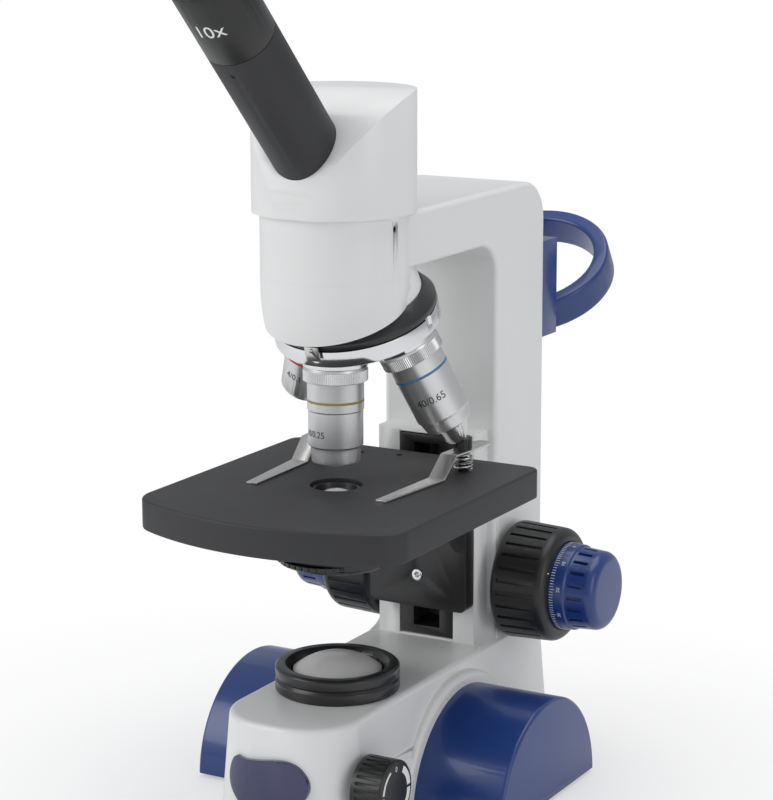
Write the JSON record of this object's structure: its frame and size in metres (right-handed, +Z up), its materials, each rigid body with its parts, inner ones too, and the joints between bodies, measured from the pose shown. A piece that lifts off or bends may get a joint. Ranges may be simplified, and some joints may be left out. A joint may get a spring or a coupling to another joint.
{
  "type": "monocular microscope",
  "caption": "School microscope with one inclined eyepiece, turning nosepiece with three objectives, focusing stage with clips, lit base and carrying handle.",
  "frame": {"origin": "where the optical axis of the objective in use meets the bench", "axes": "+Z up along the optical axis, +X to the side of the dimmer knob, -Y to the front where the eyepiece leans out"},
  "size_m": [0.1444, 0.2966, 0.3422],
  "materials": {
    "white_paint": "gloss",
    "blue_plastic": "gloss",
    "black_paint": "satin",
    "black_plastic": "satin",
    "rubber": "matte",
    "steel": "satin",
    "chrome": "polished",
    "brass": "satin",
    "board": "satin",
    "glass": "polished",
    "frosted_glass": "frosted",
    "lamp": "gloss"
  },
  "bodies": {
    "stand": {"stand_casting": "white_paint", "base_cover": "black_plastic", "cover_screws": "steel", "rubber_pads": "rubber", "foot_right": "blue_plastic", "foot_left": "blue_plastic", "badge": "blue_plastic", "collector_ring": "black_paint", "collector_lens": "frosted_glass", "led_board": "board", "led_emitter": "lamp", "dimmer_pot": "black_plastic", "power_inlet": "black_plastic", "handle": "blue_plastic", "handle_screws": "steel", "shaft_bushes": "brass", "nosepiece_seat": "black_paint", "nosepiece_screw": "steel", "detent_spring": "brass", "head_lock_screw": "steel"},
    "dimmer": {"dimmer_knob": "black_plastic", "dimmer_shaft": "steel"},
    "coarse_drive": {"coarse_shaft": "steel", "coarse_knob_right": "black_plastic", "coarse_knob_left": "black_plastic"},
    "fine_drive": {"fine_shaft": "steel", "fine_knob_right": "blue_plastic", "fine_knob_left": "blue_plastic"},
    "fine_carriage": {"guide_block": "black_paint"},
    "stage": {"focus_slide": "brass", "stage_bracket": "black_paint", "bracket_screws": "chrome", "stage_plate": "black_paint", "stage_screws": "steel", "condenser_housing": "black_paint", "condenser_lenses": "glass", "diaphragm_pin": "steel", "clip_screws": "black_paint", "clip_springs": "steel"},
    "clip_right_swing": {"clip_right": "steel"},
    "clip_left_swing": {"clip_left": "steel"},
    "diaphragm": {"diaphragm_disc": "black_paint"},
    "turret_body": {"turret": "chrome", "objective_4x": "chrome", "objective_10x": "chrome", "objective_40x_barrel": "chrome", "objective_lenses": "glass"},
    "nose_40x": {"objective_40x_nose": "chrome", "objective_40x_lens": "glass"},
    "head": {"head_base": "black_paint", "head_shell": "white_paint", "head_prism": "glass", "eyepiece_tube": "black_paint", "eyepiece_lock_screw": "steel"},
    "eyepiece": {"eyepiece_barrel": "black_plastic", "eye_lens": "glass", "field_lens": "glass"}
  },
  "joints": [
    {"name": "head_turn", "type": "hinge", "parent": "stand", "child": "head", "pos_m": [0, 0, 0.2407], "axis": [0, 0, 1], "continuous": true},
    {"name": "eyepiece_turn", "type": "hinge", "parent": "head", "child": "eyepiece", "pos_m": [0, -0.06435, 0.31035], "axis": [0, -0.7071, 0.7071], "continuous": true},
    {"name": "nosepiece_turn", "type": "hinge", "parent": "stand", "child": "turret_body", "pos_m": [0, 0.01505, 0.20015], "axis": [0, 0.342, -0.9397], "continuous": true},
    {"name": "nose_spring", "type": "slide", "parent": "turret_body", "child": "nose_40x", "axis": [-0.342, -0.3214, 0.883], "range_m": [0, 0.002], "stiffness_N_per_m": 1500, "springref_m": -0.0005},
    {"name": "fine_turn", "type": "hinge", "parent": "stand", "child": "fine_drive", "pos_m": [0, 0.0978, 0.0756], "axis": [-1, 0, 0], "range_deg": [-361, 361]},
    {"name": "stage_fine", "type": "slide", "parent": "stand", "child": "fine_carriage", "axis": [0, 0, 1], "range_m": [-0.0002, 0.0002]},
    {"name": "coarse_turn", "type": "hinge", "parent": "stand", "child": "coarse_drive", "pos_m": [0, 0.0978, 0.0756], "axis": [-1, 0, 0], "range_deg": [-93.2, 14.4]},
    {"name": "stage_coarse", "type": "slide", "parent": "fine_carriage", "child": "stage", "axis": [0, 0, 1], "range_m": [-0.013, 0.002]},
    {"name": "clip_right_turn", "type": "hinge", "parent": "stage", "child": "clip_right_swing", "pos_m": [0.0325, 0.0435, 0.134], "axis": [0, 0, 1], "range_deg": [-45, 20]},
    {"name": "clip_left_turn", "type": "hinge", "parent": "stage", "child": "clip_left_swing", "pos_m": [-0.0325, 0.0435, 0.134], "axis": [0, 0, 1], "range_deg": [-20, 45]},
    {"name": "diaphragm_turn", "type": "hinge", "parent": "stage", "child": "diaphragm", "pos_m": [0, -0.008, 0.1056], "axis": [0, 0, 1], "continuous": true},
    {"name": "dimmer_turn", "type": "hinge", "parent": "stand", "child": "dimmer", "pos_m": [0.031, -0.0316, 0.0265], "axis": [1, 0, 0], "range_deg": [0, 270]}
  ],
  "couplings": [
    {"joint": "coarse_turn", "follows": "stage_coarse", "rad_per_m": 125},
    {"joint": "fine_turn", "follows": "stage_fine", "rad_per_m": 31416}
  ]
}
